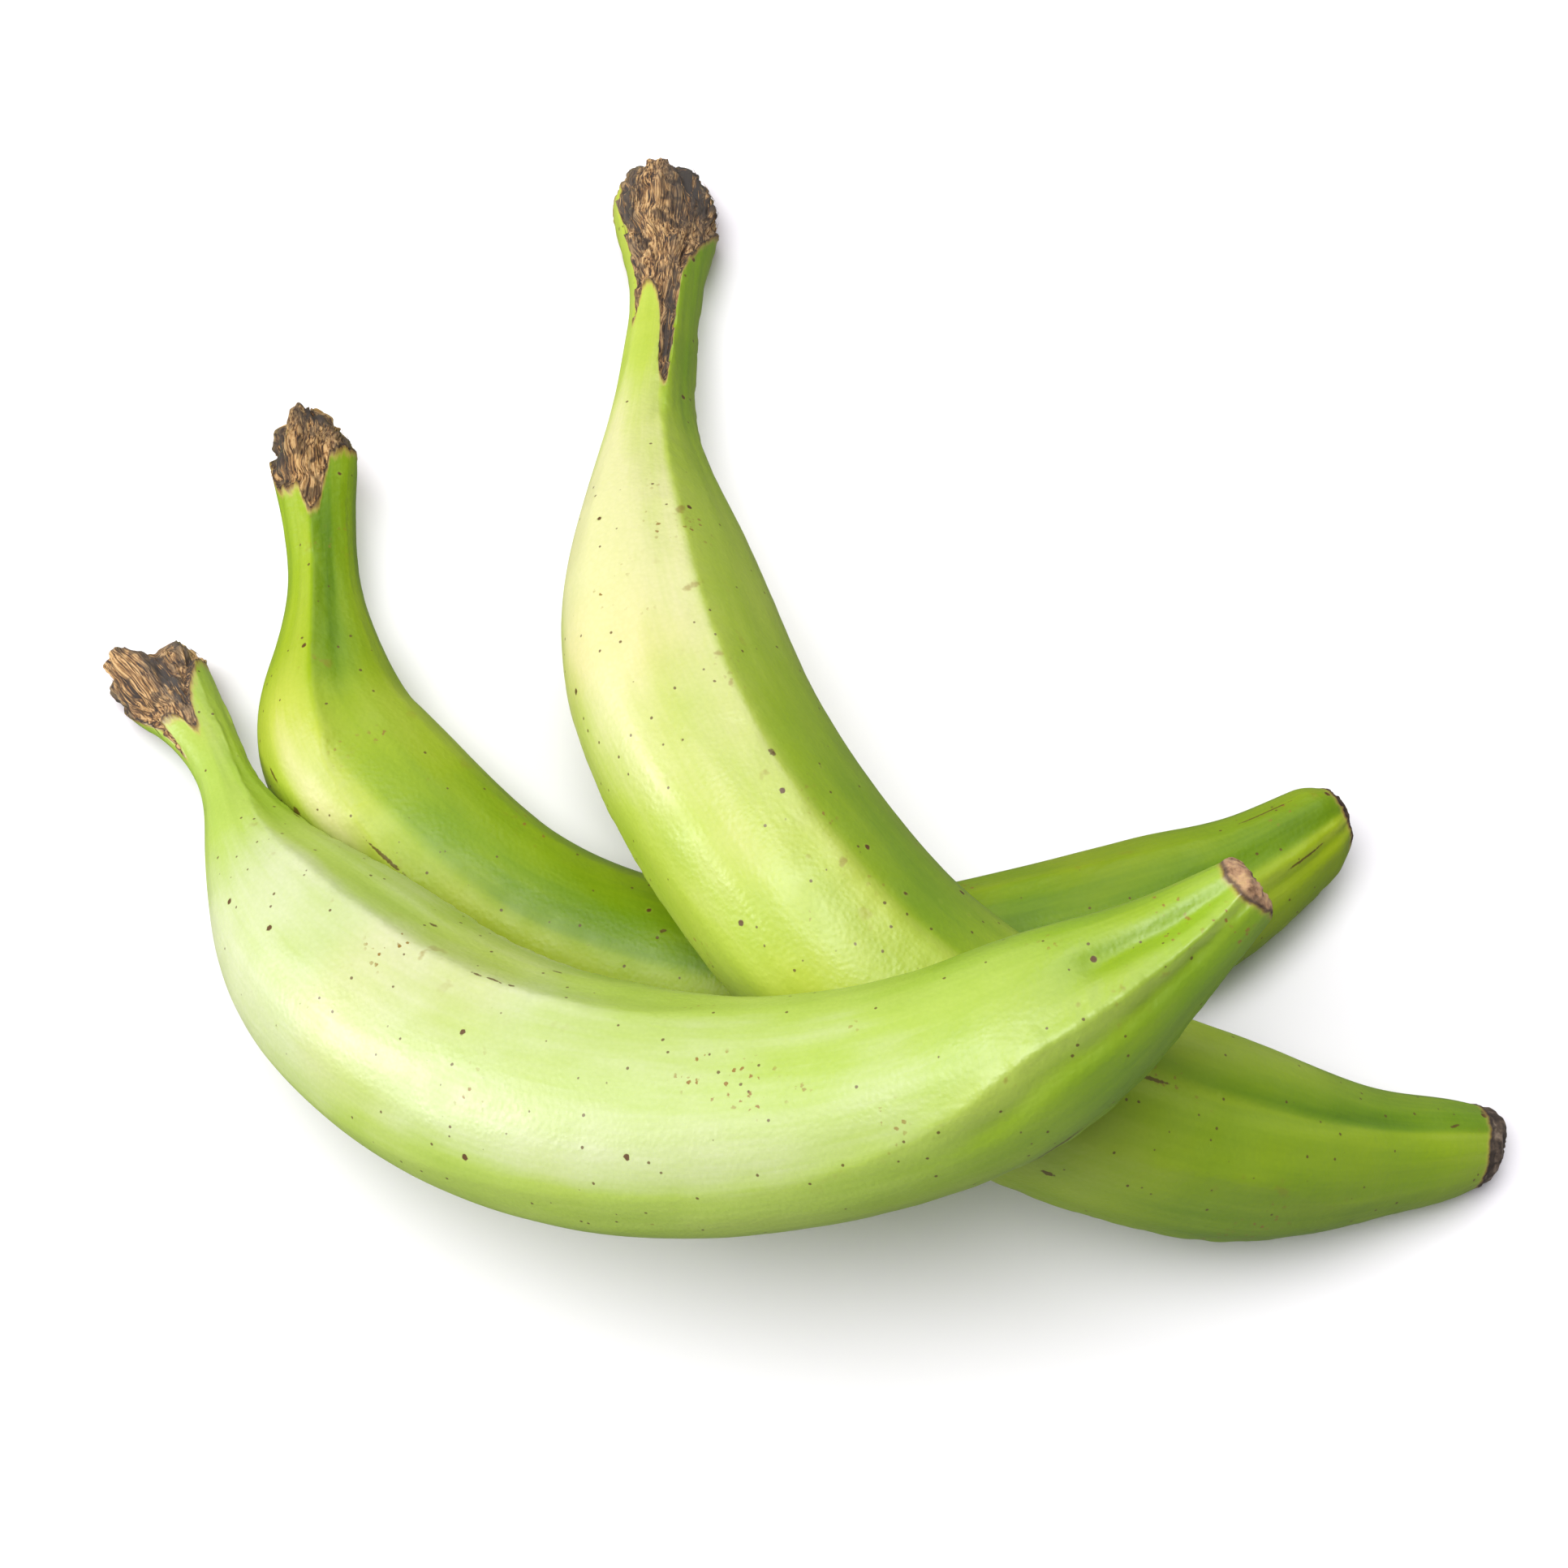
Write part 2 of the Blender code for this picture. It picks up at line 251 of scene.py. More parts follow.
REAR = Fruit(
    name="rear",
    slot="deep_green_peel",
    spine=((-103, 57, 16), (-99, 23, 16), (-97, 2, 16.5), (-94, -14, 16), (-82, -31, 16),
           (-59, -51, 15.7), (-23, -65, 15.3), (15, -66, 14.8), (53, -57, 14.2), (82, -46.5, 13.2),
           (107.5, -30, 13)),
    girth=(5.8, 8.6, 8.1, 7.2, 7.9, 11.1, 15.2, 18.0, 18.4, 18.0, 17.8, 17.4, 16.9, 16.4, 16.0, 14.6,
           12.1, 9.9, 8.0),
    folds=(
        Fold(((0, 84), (0.09, 80), (0.22, 80), (0.27, 70), (0.32, 60), (0.36, 52), (0.42, 46), (0.7, 55),
              (0.92, 70), (1, 70)),
             ((0, 0.03), (0.07, 0.09), (0.14, 0.16), (0.24, 0.11), (0.36, 0.06), (0.5, 0.03), (0.8, 0.03),
              (0.9, 0.08), (1, 0.12)), 11, True),
        Fold(((0, 105), (0.2, 102), (0.4, 100), (0.8, 92), (0.92, 84), (1, 82)),
             ((0, 0), (0.06, -0.03), (0.13, -0.06), (0.22, -0.04), (0.3, 0), (0.84, 0),
              (0.93, -0.05), (1, -0.05)), 17, False),
        Fold(((0, 50), (0.2, 52), (0.8, 45), (0.92, 53), (1, 56)),
             ((0, 0), (0.1, -0.03), (0.25, 0), (0.84, 0), (0.93, -0.05), (1, -0.07)), 8, False),
        Fold(((0, 140), (0.3, 140), (0.6, 135), (0.85, 125), (1, 120)),
             ((0, 0.01), (0.1, 0.04), (0.3, 0.035), (0.7, 0.04), (1, 0.04)), 14, True),
        back_ridge(200, 200, (0.04, 0.04, 0.05)),
        back_ridge(260, 270, (0.04, 0.04, 0.05)),
        Fold(((0, 350), (0.4, 350), (1, 358)), ((0, 0.02), (0.2, 0.03), (0.8, 0.04), (1, 0.05)), 16, True),
        Fold(((0, 60), (0.03, 56), (1, 56)), ((0, 0.24), (0.02, 0.12), (0.04, 0), (1, 0)), 9, True),
        Fold(((0, 40), (0.03, 36), (1, 36)), ((0, -0.16), (0.02, -0.12), (0.04, 0), (1, 0)), 9, False),
        Fold(((0, 118), (0.03, 124), (1, 124)), ((0, 0.1), (0.025, 0.14), (0.045, 0), (1, 0)), 9, True),
        Fold(((0, 10), (0.04, 0), (1, 0)), ((0, 0.26), (0.02, 0.22), (0.045, 0), (1, 0)), 24, True),
    ),
    torn_edge=((0, 0.03), (20, 0.054), (45, 0.058), (62, 0.058), (84, 0.078), (100, 0.06), (110, 0.046),
               (116, 0.036), (156, 0.03), (200, 0.03), (300, 0.04), (360, 0.03)),
    rim=((0, -2.0), (40, 0.0), (62, 1.6), (78, 0.9), (95, 0.0), (115, -1.2), (135, -1.6), (160, -2.4),
         (240, 0.0), (300, 0), (360, -2.0)),
    slant=0.3,
    stalk_round=3.5,
    tip_round=6.0,
    scar_start=0.997,
    scar_depth=-1.2,
    scar_tilt=-0.1,
    scar_turn=0.2,
    scar_over=0.0,
    crust=0.0,
    gloss=0.3,
    tint=(1.0, 0.96, 0.95),
    green_along=((0, 0.62), (0.12, 0.68), (0.2, 0.62), (0.28, 0.46), (0.36, 0.64), (0.55, 0.64),
                 (0.72, 0.72), (0.85, 0.66), (0.92, 0.68), (1, 0.7)),
    green_round=((0, 0.05), (30, -0.02), (60, -0.16), (76, -0.05), (90, 0.16), (120, 0.08), (150, 0.02),
                 (180, 0.06), (260, 0.2), (330, 0.1), (360, 0.05)),
    patches=(Patch(0.28, 46, 34, 9, 0.22),),
    charring=(Patch(0.004, 96, 13, 36, 1.0), Patch(0.03, 22, 24, 22, 1.0), Patch(0.03, 146, 16, 20, 0.9)),
    marks=(Mark(0.955, 62, 9, 0.9, 0), Mark(0.277, 28, 2.5, 2.0, 0), Mark(0.252, 24, 3, 1.0, 20),
           Mark(0.34, 57, 9, 0.8, 0), Mark(0.37, 52, 8, 0.8, 0), Mark(0.52, 100, 1.5, 0.8, 30),
           Mark(0.95, 128, 12, 0.8, 0)),
    speck_seed=23.0,
)

FRUITS = {fruit.name: fruit for fruit in (FRONT, LONG, REAR)}


# ---------------------------------------------------------------------------------------------------
# Spines


def spline(knots, values, places):
    """Natural cubic spline through the values at the knots, read at the given places."""
    knots, values, places = (np.asarray(item, float) for item in (knots, values, places))
    values = values.reshape(len(knots), -1)
    gaps = np.diff(knots)
    slopes = np.diff(values, axis=0) / gaps[:, None]
    system = np.eye(len(knots))
    pull = np.zeros_like(values)
    for i in range(1, len(knots) - 1):
        system[i, i - 1:i + 2] = gaps[i - 1], 2 * (gaps[i - 1] + gaps[i]), gaps[i]
        pull[i] = 6 * (slopes[i] - slopes[i - 1])
    bend = np.linalg.solve(system, pull)
    i = np.clip(np.searchsorted(knots, places, side="right") - 1, 0, len(gaps) - 1)
    width = gaps[i][:, None]
    after = (places[:, None] - knots[i][:, None]) / width
    before = 1 - after
    bow = ((before ** 3 - before) * bend[i] + (after ** 3 - after) * bend[i + 1]) * width ** 2 / 6
    return before * values[i] + after * values[i + 1] + bow


def unit(vectors):
    return vectors / np.linalg.norm(vectors, axis=-1, keepdims=True)


def spine_line(fruit):
    """A line of points down the middle of a fruit, each with its girth and its upward direction."""
    shares = np.linspace(0, 1, SPINE_STEPS + 1)
    spine = np.array(fruit.spine, float) * MM
    steps = np.linalg.norm(np.diff(spine, axis=0), axis=1)
    centres = spline(np.concatenate([[0], np.cumsum(steps)]) / steps.sum(), spine, shares)
    tangents = unit(np.gradient(centres, shares, axis=0))
    middle = spine[len(spine) // 2]
    normal = unit(np.cross(middle - spine[0], spine[-1] - middle))
    upward = unit(normal - (tangents @ normal)[:, None] * tangents)
    girth = spline(GIRTH_PLACES, fruit.girth, shares)[:, 0] * MM
    line = bpy.data.meshes.new(f"{fruit.name}_spine")
    links = [(i, i + 1) for i in range(SPINE_STEPS)]
    line.from_pydata(centres + np.array(HEAP_SHIFT), links, [])
    line.attributes.new("upward", "FLOAT_VECTOR", "POINT").data.foreach_set("vector", upward.ravel())
    line.attributes.new("girth", "FLOAT", "POINT").data.foreach_set("value", girth)
    return line


# ---------------------------------------------------------------------------------------------------
# Node desk


class Desk:
    """Adds nodes to one tree. A node is fed numbers, vectors, names or other nodes' outputs."""

    def __init__(self, tree):
        self.tree = tree

    def add(self, kind, feeds=None, **settings):
        node = self.tree.nodes.new(kind)
        for key, value in settings.items():
            setattr(node, key, value)
        for key, value in (feeds or {}).items():
            self.feed(self.socket(node, key), value)
        return node

    @staticmethod
    def socket(node, key):
        if isinstance(key, int):
            return node.inputs[key]
        return next(socket for socket in node.inputs if socket.name == key and socket.enabled)

    def made(self, kind, feeds=None, **settings):
        """The first output of a new node."""
        return self.add(kind, feeds, **settings).outputs[0]

    def feed(self, socket, value):
        if isinstance(value, bpy.types.NodeSocket):
            self.tree.links.new(value, socket)
        else:
            socket.default_value = value

    @staticmethod
    def out(node, name=None):
        return next(s for s in node.outputs if s.enabled and name in (None, s.name))

    def math(self, operation, *values):
        node = self.add("ShaderNodeMath", dict(enumerate(values)), operation=operation)
        return node.outputs[0]

    def chain(self, operation, values):
        result = values[0]
        for value in values[1:]:
            result = self.math(operation, result, value)
        return result

    def times(self, *values):
        return self.chain("MULTIPLY", values)

    def total(self, *values):
        return self.chain("ADD", values)

    def less(self, value, taken):
        return self.math("SUBTRACT", value, taken)

    def shared(self, value, parts):
        return self.math("DIVIDE", value, parts)

    def highest(self, first, second):
        return self.math("MAXIMUM", first, second)

    def lowest(self, first, second):
        return self.math("MINIMUM", first, second)

    def vector(self, operation, *values):
        node = self.add("ShaderNodeVectorMath", operation=operation)
        for socket, value in zip((s for s in node.inputs if s.enabled), values):
            self.feed(socket, value)
        return self.out(node)

    def join(self, x, y, z):
        return self.out(self.add("ShaderNodeCombineXYZ", {0: x, 1: y, 2: z}))

    def split(self, vector):
        return self.add("ShaderNodeSeparateXYZ", {0: vector}).outputs

    def bearing(self, x, y):
        """Degrees round the fruit, from 0 to 360."""
        return self.math("WRAP", self.math("DEGREES", self.math("ARCTAN2", y, x)), 360, 0)

    def over_table(self, point):
        """The point, lifted to the table if it lies below."""
        parts = self.split(point)
        return self.join(parts["X"], parts["Y"], self.highest(parts["Z"], TABLE_GAP))

    def ease(self, value, start, end, low=0.0, high=1.0):
        """Smoothly from low at start to high at end."""
        feeds = {"Value": value, "From Min": start, "From Max": end, "To Min": low, "To Max": high}
        return self.out(self.add("ShaderNodeMapRange", feeds, interpolation_type="SMOOTHSTEP"))

    def noise(self, place, scale, detail=2.0, roughness=0.5):
        feeds = {"Vector": place, "Scale": scale, "Detail": detail, "Roughness": roughness}
        return self.made("ShaderNodeTexNoise", feeds)

    def waves(self, place, grain, low, high, detail=2.0, roughness=0.5):
        """Noise that swings from low to high. Its grain is one scale, or one for each direction."""
        if isinstance(grain, tuple):
            place, grain = self.vector("MULTIPLY", place, grain), 1.0
        return self.ease(self.noise(place, grain, detail, roughness), NOISE_LOW, NOISE_HIGH, low, high)

    def cells(self, place, scale, **settings):
        return self.add("ShaderNodeTexVoronoi", {"Vector": place, "Scale": scale}, **settings)

    def graph(self, value, points, across=1.0):
        """A smooth curve through the points, read at a value that runs from 0 to across."""
        heights = [height for _, height in points]
        low, high = min(heights), max(heights)
        reach = max(high - low, 1e-6)
        node = self.add("ShaderNodeFloatCurve", {"Value": self.shared(value, across)})
        curve = node.mapping.curves[0]
        scaled = [(place / across, (height - low) / reach) for place, height in points]
        curve.points[0].location = scaled[0]
        curve.points[-1].location = scaled[-1]
        for place in scaled[1:-1]:
            curve.points.new(*place)
        for point in curve.points:
            point.handle_type = "AUTO_CLAMPED"
        node.mapping.update()
        return self.math("MULTIPLY_ADD", node.outputs[0], reach, low)

    def blend(self, factor, first, second):
        """The first colour under the second, which covers it by the factor."""
        if isinstance(second, tuple):
            second = (*second, OPAQUE)
        return self.add("ShaderNodeMix", {0: factor, 6: first, 7: second}, data_type="RGBA").outputs[2]

    def either(self, factor, first, second):
        """The first number where the factor is 0, the second where it is 1."""
        return self.made("ShaderNodeMix", {0: factor, 2: first, 3: second}, data_type="FLOAT")


def new_geometry_tree(name, inputs):
    """A Geometry Nodes tree with a geometry input, the named inputs after it, and a geometry output."""
    tree = bpy.data.node_groups.new(name, "GeometryNodeTree")
    tree.interface.new_socket("Geometry", in_out="INPUT", socket_type="NodeSocketGeometry")
    tree.interface.new_socket("Geometry", in_out="OUTPUT", socket_type="NodeSocketGeometry")
    for label, kind in inputs:
        tree.interface.new_socket(label, in_out="INPUT", socket_type=f"NodeSocket{kind}")
    desk = Desk(tree)
    return desk, desk.add("NodeGroupInput").outputs


def finish_geometry_tree(desk, geometry, material):
    """Ends the tree in real geometry with a material."""
    real = desk.add("GeometryNodeRealizeInstances", {"Geometry": geometry})
    finished = desk.add("GeometryNodeSetMaterial", {"Geometry": real.outputs[0], "Material": material})
    desk.add("NodeGroupOutput", {0: finished.outputs[0]})


def grown_piece(name, mesh, tree, values):
    """The tree's result on the mesh, as an object with a plain mesh of its own."""
    seedling = bpy.data.objects.new(f"{name}_seedling", mesh)
    bpy.context.scene.collection.objects.link(seedling)
    modifier = seedling.modifiers.new(tree.name, "NODES")
    modifier.node_group = tree
    for item in tree.interface.items_tree:
        if item.in_out == "INPUT" and item.name in values:
            modifier[item.identifier] = values[item.name]
    bpy.context.view_layer.update()
    grown = seedling.evaluated_get(bpy.context.evaluated_depsgraph_get())
    result = bpy.data.meshes.new_from_object(grown)
    result.name = name
    bpy.data.objects.remove(seedling, do_unlink=True)
    piece = bpy.data.objects.new(name, result)
    bpy.context.scene.collection.objects.link(piece)
    return piece


# ---------------------------------------------------------------------------------------------------
# The fruit's shape


def fold_height(desk, degrees, share, fold):
    """How much of a fold's rise each point takes, and that rise."""
    away = desk.less(degrees, desk.graph(share, fold.route))
    away = desk.math("WRAP", away, 180, -180)
    if fold.crisp:
        away = desk.math("SQRT", desk.math("MULTIPLY_ADD", away, away, CREST_ROUND ** 2))
        nearness = desk.math("EXPONENT", desk.shared(away, -fold.spread))
    else:
        steep = desk.shared(away, fold.spread)
        nearness = desk.math("EXPONENT", desk.times(steep, steep, -1))
    return nearness, desk.times(nearness, desk.graph(share, fold.rise))


def stored(desk, geometry, name, value, kind="FLOAT", domain="POINT"):
    feeds = {"Geometry": geometry, "Name": name, "Value": value}
    return desk.made("GeometryNodeStoreNamedAttribute", feeds, data_type=kind, domain=domain)


def named(desk, name, kind="FLOAT"):
    return desk.out(desk.add("GeometryNodeInputNamedAttribute", {"Name": name}, data_type=kind))


def from_spine(desk, curve, share, name, kind):
    """An attribute of the spine, read at each point's share of the length."""
    value = named(desk, name, kind)
    sampler = desk.add("GeometryNodeSampleCurve", mode="FACTOR", data_type=kind)
    for key, value in (("Curves", curve), ("Value", value), ("Factor", share)):
        desk.feed(desk.socket(sampler, key), value)
    return sampler


def drifted_strands(desk, sheath):
    """The peel's own millimetres, shifted sideways a little here and there so that strands wander."""
    drift = desk.waves(sheath, 0.12, -0.7, 0.7, 1.0)
    return desk.vector("ADD", sheath, desk.join(drift, desk.times(drift, -0.8), drift))


def rounding(desk, from_end, round_off):
    """Narrows the tube smoothly over the last millimetres before an end."""
    left = desk.less(1.0, desk.lowest(desk.shared(from_end, round_off), 1.0))
    return desk.math("MULTIPLY_ADD", desk.times(left, left), -END_NARROWING, 1.0)


def fruit_tree(fruit, length):
    """Bends a closed tube along the spine and raises the fruit's relief on it."""
    desk, inputs = new_geometry_tree(f"{fruit.name}_growth", (
        ("Rings", "Int"), ("Sides", "Int"), ("End Rings", "Int"), ("Stalk Crowding", "Float"),
        ("Tip Crowding", "Float"), ("Ridge Strength", "Float"), ("Fibre Depth", "Float"),
        ("Material", "Material")))
    tube = desk.made("GeometryNodeMeshCylinder", {
        "Vertices": inputs["Sides"], "Side Segments": inputs["Rings"], "Fill Segments": inputs["End Rings"],
        "Radius": 1.0, "Depth": 1.0}, fill_type="TRIANGLE_FAN")
    place = desk.split(desk.made("GeometryNodeInputPosition"))
    out_from_middle = desk.vector("LENGTH", desk.join(place["X"], place["Y"], 0.0))
    degrees = desk.bearing(place["X"], place["Y"])
    inner = desk.less(1.0, out_from_middle)
    share = desk.math("POWER", desk.total(place["Z"], 0.5), inputs["Stalk Crowding"])
    share = desk.highest(desk.less(1.0, share), 0.0)
    share = desk.less(1.0, desk.math("POWER", share, inputs["Tip Crowding"]))
    safe = desk.highest(out_from_middle, 1e-4)
    cosine = desk.shared(place["X"], safe)
    sine = desk.shared(place["Y"], safe)
    round_place = desk.join(cosine, sine, share)

    curve = desk.made("GeometryNodeMeshToCurve", {"Mesh": inputs["Geometry"]})
    girth_reader = from_spine(desk, curve, share, "girth", "FLOAT")
    upward = desk.out(from_spine(desk, curve, share, "upward", "FLOAT_VECTOR"), "Value")
    girth = desk.out(girth_reader, "Value")
    centre = desk.out(girth_reader, "Position")
    tangent = desk.out(girth_reader, "Tangent")
    outward = desk.vector("CROSS_PRODUCT", tangent, upward)

    crest, hollow, relief = 0.0, 0.0, 0.0
    for fold in fruit.folds:
        nearness, rise = fold_height(desk, degrees, share, fold)
        relief = desk.total(relief, rise)
        if fold.crisp:
            crest = desk.highest(crest, desk.ease(rise, 0.0, 0.08))
        else:
            hollow = desk.highest(hollow, desk.ease(rise, 0.0, -0.12))
    relief = desk.times(relief, inputs["Ridge Strength"])

    # Millimetres inside the torn patch's edge and the blossom scar's edge, less than 0 outside them
    inner_mm = desk.times(inner, girth, 1 / MM)
    torn_reach = desk.less(desk.graph(degrees, fruit.torn_edge, 360), share)
    over_end = desk.times(inner_mm, desk.math("SIGN", place["Z"]))
    sheath = desk.join(desk.times(cosine, girth, 1 / MM), desk.times(sine, girth, 1 / MM),
                       desk.math("MULTIPLY_ADD", share, length / MM, over_end))
    ragged = desk.waves(sheath, (0.7, 0.7, 0.15), -0.8, 0.8, 3.0, 0.6)
    torn = desk.total(desk.times(torn_reach, length / MM), inner_mm, ragged)
    scar_reach = desk.times(desk.highest(sine, 0.0), fruit.scar_over)
    scar_reach = desk.less(desk.total(share, scar_reach), fruit.scar_start)
    scar = desk.math("MULTIPLY_ADD", scar_reach, length / MM, inner_mm)
    scar = desk.total(scar, desk.waves(round_place, 3.0, -0.25, 0.25))

    drifted = drifted_strands(desk, sheath)
    crumple = desk.waves(sheath, 0.2, -0.7, 0.7, 1.0)
    ropes = desk.waves(drifted, (0.5, 0.5, 0.07), -0.45, 0.45, 1.0)
    strands = desk.waves(drifted, (1.4, 1.4, 0.07), -0.38, 0.38)
    shag = desk.times(desk.total(crumple, ropes, strands), inputs["Fibre Depth"])
    torn_mask = desk.ease(torn, 0.0, 1.0)
    sink = desk.ease(torn, 0.0, 1.6, 0.0, -0.9)
    lip = desk.times(desk.ease(torn, -1.6, -0.1), desk.ease(torn, 0.6, -0.1), 0.25)
    torn_relief = desk.total(desk.times(shag, torn_mask), sink, lip)
    scar_mask = desk.ease(scar, 0.0, 0.8)
    lumps = desk.waves(sheath, 0.45, -0.25, 0.25, 1.0)
    scar_rim = desk.times(desk.ease(scar, -0.3, 0.5), desk.ease(scar, 1.8, 0.6), 0.2)
    scar_relief = desk.total(desk.times(lumps, scar_mask), scar_rim)
    swell = desk.waves(round_place, (1.1, 1.1, 6), -0.25, 0.25)
    notches = desk.noise(desk.vector("MULTIPLY", round_place, (2, 2, 60)), 1.0, 2.0)
    notches = desk.times(desk.ease(notches, 0.35, 0.65, -0.22, 0.22), crest)
    fine_relief = desk.times(desk.total(torn_relief, scar_relief, swell, notches), MM)

    reach = desk.math("MULTIPLY_ADD", girth, relief, desk.total(girth, fine_relief))
    stalk_end = rounding(desk, desk.times(share, length / MM), fruit.stalk_round)
    tip_end = rounding(desk, desk.times(desk.less(1.0, share), length / MM), fruit.tip_round)
    reach = desk.times(reach, out_from_middle, stalk_end, tip_end)
    to_body = desk.lowest(desk.shared(share, STALK_SHARE), 1.0)
    flatness = desk.math("MULTIPLY_ADD", to_body, THICKNESS - STALK_THICKNESS, STALK_THICKNESS)
    sloped = desk.times(desk.ease(share, 0.11, 0.0), desk.highest(sine, 0.0), fruit.slant)
    flatness = desk.times(flatness, desk.less(1.0, sloped))

    # The torn end's uneven rim and crumpled face, and the scar's hollow or crown
    at_stalk = desk.ease(share, 0.05, 0.0)
    rim = desk.times(desk.graph(degrees, fruit.rim, 360), out_from_middle, out_from_middle)
    stalk_dome = desk.ease(inner, 0.0, 0.8, 0.0, 1.2)
    stalk_push = desk.times(desk.total(rim, crumple, ropes, stalk_dome), at_stalk, -MM)
    bowl = desk.ease(inner, 0.12, 0.7, 0.0, -fruit.scar_depth)
    tip_push = desk.total(bowl, lumps)
    tip_push = desk.times(tip_push, desk.ease(share, 0.985, 1.0), MM)
    turned = desk.times(desk.highest(cosine, -0.2), fruit.scar_turn)
    tip_slant = desk.total(desk.times(sine, fruit.scar_tilt), turned)
    tip_tilt = desk.times(desk.ease(share, 0.93, 1.0), tip_slant, reach, -1)
    push = desk.total(stalk_push, tip_push, tip_tilt)
    push = desk.vector("MULTIPLY", tangent, desk.join(push, push, push))

    sideways = desk.vector("MULTIPLY", outward, desk.join(*[desk.times(cosine, reach)] * 3))
    upwards = desk.vector("MULTIPLY", upward, desk.join(*[desk.times(sine, reach, flatness)] * 3))
    point = desk.vector("ADD", desk.vector("ADD", centre, sideways), desk.vector("ADD", upwards, push))
    point = desk.over_table(point)

    skin = stored(desk, tube, "round_place", round_place, "FLOAT_VECTOR")
    skin = stored(desk, skin, "sheath", sheath, "FLOAT_VECTOR")
    skin = stored(desk, skin, "along", tangent, "FLOAT_VECTOR")
    for label, value in (("torn", torn), ("scar", scar), ("crest", crest), ("hollow", hollow),
                         ("shag", desk.math("MULTIPLY_ADD", shag, 0.4, 0.5))):
        skin = stored(desk, skin, label, value)
    skin = desk.made("GeometryNodeSetPosition", {"Geometry": skin, "Position": point})
    skin = desk.made("GeometryNodeFlipFaces", {"Mesh": skin})
    skin = desk.made("GeometryNodeSetShadeSmooth", {"Geometry": skin})
    finish_geometry_tree(desk, skin, inputs["Material"])
    return desk.tree


# ---------------------------------------------------------------------------------------------------
# Loose fibres on the torn stalk


def fibre_tree():
    """Scatters thin tapered slivers over a fruit's torn patch, lying along the stalk and tilted a little at
    random.
    """
    desk, inputs = new_geometry_tree("stalk_fraying", (
        ("Density", "Float"), ("Length", "Float"), ("Thickness", "Float"), ("Seed", "Int"),
        ("Material", "Material")))
    torn = named(desk, "torn")
    along = named(desk, "along", "FLOAT_VECTOR")
    share = desk.split(named(desk, "round_place", "FLOAT_VECTOR"))["Z"]
    density = desk.times(desk.ease(torn, 0.6, 2.0), desk.ease(share, 0.005, 0.03), inputs["Density"])
    scatter = desk.add("GeometryNodeDistributePointsOnFaces", {
        "Mesh": inputs["Geometry"], "Density": density, "Seed": inputs["Seed"]})

    line = desk.made("GeometryNodeCurvePrimitiveLine", {"Start": (-0.5, 0, 0), "End": (0.5, 0, 0)})
    line = desk.made("GeometryNodeResampleCurve", {"Curve": line, "Count": SLIVER_RINGS})
    spot = desk.made("GeometryNodeSplineParameter")
    taper = desk.ease(desk.math("ABSOLUTE", desk.less(spot, 0.5)), 0.5, 0.1, 0.25, 1.0)
    line = desk.made("GeometryNodeSetCurveRadius", {"Curve": line, "Radius": taper})
    profile = desk.made("GeometryNodeCurvePrimitiveCircle", {"Resolution": SLIVER_SIDES, "Radius": 0.5})
    feeds = {"Curve": line, "Profile Curve": profile, "Fill Caps": True, "Scale": taper}
    sliver = desk.made("GeometryNodeCurveToMesh", feeds)

    normal = {"Vector": scatter.outputs["Normal"]}
    turn = desk.made("FunctionNodeAlignRotationToVector", normal, axis="Z")
    turn = desk.made("FunctionNodeAlignRotationToVector", {"Rotation": turn, "Vector": along},
                     axis="X", pivot_axis="Z")
    sway = desk.add("FunctionNodeRandomValue", {
        "Min": (-0.3, -0.06, -0.16), "Max": (0.3, 0.06, 0.16), "Seed": SWAY_SEED}, data_type="FLOAT_VECTOR")
    tilt = desk.made("FunctionNodeEulerToRotation", {0: desk.out(sway)})
    turn = desk.made("FunctionNodeRotateRotation", {"Rotation": turn, "Rotate By": tilt},
                     rotation_space="LOCAL")
    stretch = desk.add("FunctionNodeRandomValue", {
        "Min": (0.35, 0.5, 0.5), "Max": (1.3, 1.5, 1.2), "Seed": STRETCH_SEED}, data_type="FLOAT_VECTOR")
    size = desk.vector("MULTIPLY", desk.out(stretch),
                       desk.join(inputs["Length"], inputs["Thickness"], inputs["Thickness"]))
    strands = desk.made("GeometryNodeInstanceOnPoints", {
        "Points": scatter.outputs["Points"], "Instance": sliver, "Rotation": turn, "Scale": size})
    shade = desk.add("FunctionNodeRandomValue", {"Min": 0.0, "Max": 1.0, "Seed": SHADE_SEED},
                     data_type="FLOAT")
    strands = stored(desk, strands, "shade", desk.out(shade), domain="INSTANCE")
    strands = desk.made("GeometryNodeRealizeInstances", {"Geometry": strands})
    point = desk.over_table(desk.made("GeometryNodeInputPosition"))
    strands = desk.made("GeometryNodeSetPosition", {"Geometry": strands, "Position": point})
    strands = desk.made("GeometryNodeSetShadeSmooth", {"Geometry": strands})
    finish_geometry_tree(desk, strands, inputs["Material"])
    return desk.tree


# ---------------------------------------------------------------------------------------------------
# Materials


def new_material(name):
    """A material with an empty Principled shader, and the desk that its nodes go on."""
    material = bpy.data.materials.new(name)
    material.use_nodes = True
    desk = Desk(material.node_tree)
    return material, desk, material.node_tree.nodes["Principled BSDF"]


def attribute(desk, name, output="Fac"):
    return desk.add("ShaderNodeAttribute", attribute_name=name).outputs[output]


def ramp(desk, value, stops):
    """A colour ramp with (place, colour) stops."""
    node = desk.add("ShaderNodeValToRGB", {0: value})
    elements = node.color_ramp.elements
    for element, (place, colour) in zip(elements, (stops[0], stops[-1])):
        element.position, element.color = place, (*colour, OPAQUE)
    for place, colour in stops[1:-1]:
        elements.new(place).color = (*colour, OPAQUE)
    return node.outputs[0]


